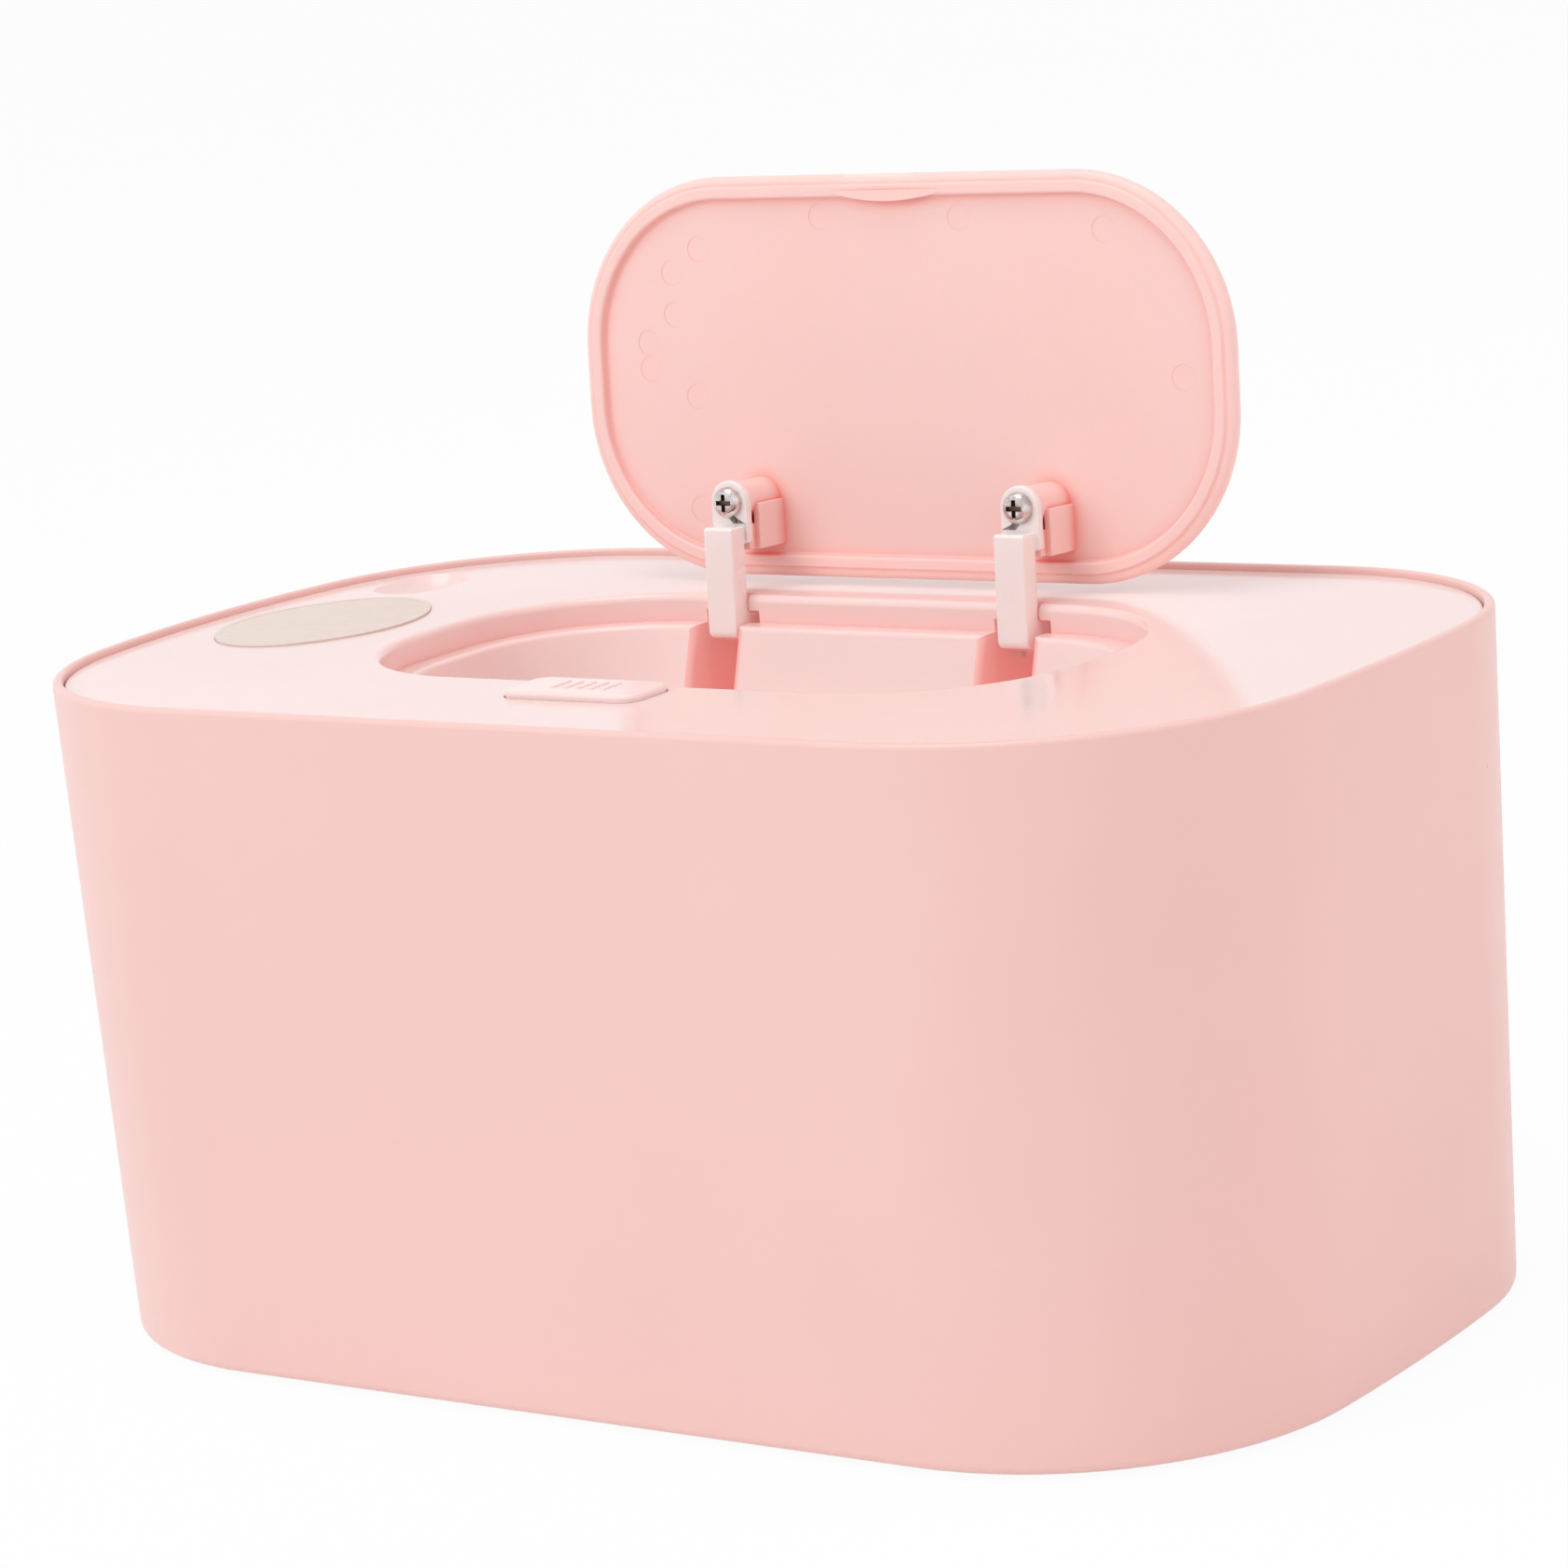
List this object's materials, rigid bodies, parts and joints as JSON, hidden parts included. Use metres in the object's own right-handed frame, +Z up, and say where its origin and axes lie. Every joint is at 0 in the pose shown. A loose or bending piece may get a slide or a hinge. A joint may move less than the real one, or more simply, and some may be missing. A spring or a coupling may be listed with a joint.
{
  "type": "wipe warmer",
  "caption": "Pink plastic wipe warmer: bowed box body, glossy inset top with a stepped well, a spring-open lid on gooseneck arms, a latch button and a bare oval plate.",
  "frame": {"origin": "centre of the footprint on the surface it stands on", "axes": "+Z up, front with the push button towards -Y, +X to the viewer's right"},
  "size_m": [0.2098, 0.129, 0.1633],
  "materials": {
    "shell_plastic": "satin",
    "panel_plastic": "gloss",
    "lid_plastic": "satin-gloss",
    "arm_plastic": "milky",
    "inner_plastic": "matte",
    "plate_metal": "satin",
    "steel": "satin",
    "rubber": "matte",
    "silicone": "matte",
    "film": "satin",
    "foam": "matte",
    "board": "gloss",
    "leads": "matte",
    "dark_part": "matte"
  },
  "bodies": {
    "base": {"outer_shell": "shell_plastic", "base_plate": "shell_plastic", "rubber_feet": "rubber", "base_screws": "steel", "wipe_tank": "inner_plastic", "tank_gasket": "silicone", "heater_film": "film", "insulation_pad": "foam", "temperature_sensor": "dark_part", "thermal_fuse": "steel", "control_board": "board", "board_screws": "steel", "power_socket": "steel", "heater_leads": "leads"},
    "top_cover": {"top_panel": "panel_plastic", "oval_plate": "plate_metal", "hinge_pins": "steel", "hinge_springs": "steel", "latch_bracket": "inner_plastic", "bracket_screws": "steel", "button_springs": "steel"},
    "lid": {"flip_lid": "lid_plastic", "left_hinge_arm": "arm_plastic", "right_hinge_arm": "arm_plastic", "hinge_screws": "steel"},
    "button": {"push_button": "panel_plastic"},
    "bolt": {"latch_bolt": "inner_plastic"}
  },
  "joints": [
    {"name": "cover_lift", "type": "slide", "parent": "base", "child": "top_cover", "axis": [0, 0, 1], "range_m": [0, 0.04]},
    {"name": "lid_hinge", "type": "hinge", "parent": "top_cover", "child": "lid", "pos_m": [0, 0.0388, 0.0944], "axis": [1, 0, 0], "range_deg": [0, 93], "stiffness_Nm_per_rad": 0.01, "springref_deg": -20.05},
    {"name": "button_press", "type": "slide", "parent": "top_cover", "child": "button", "axis": [0, 0, -1], "range_m": [0, 0.0013], "stiffness_N_per_m": 600, "springref_m": -0.001, "deforming": ["button_springs"]},
    {"name": "bolt_slide", "type": "slide", "parent": "top_cover", "child": "bolt", "axis": [0, -1, 0], "range_m": [0, 0.0013]}
  ],
  "couplings": [
    {"joint": "bolt_slide", "follows": "button_press", "ratio": 1}
  ]
}
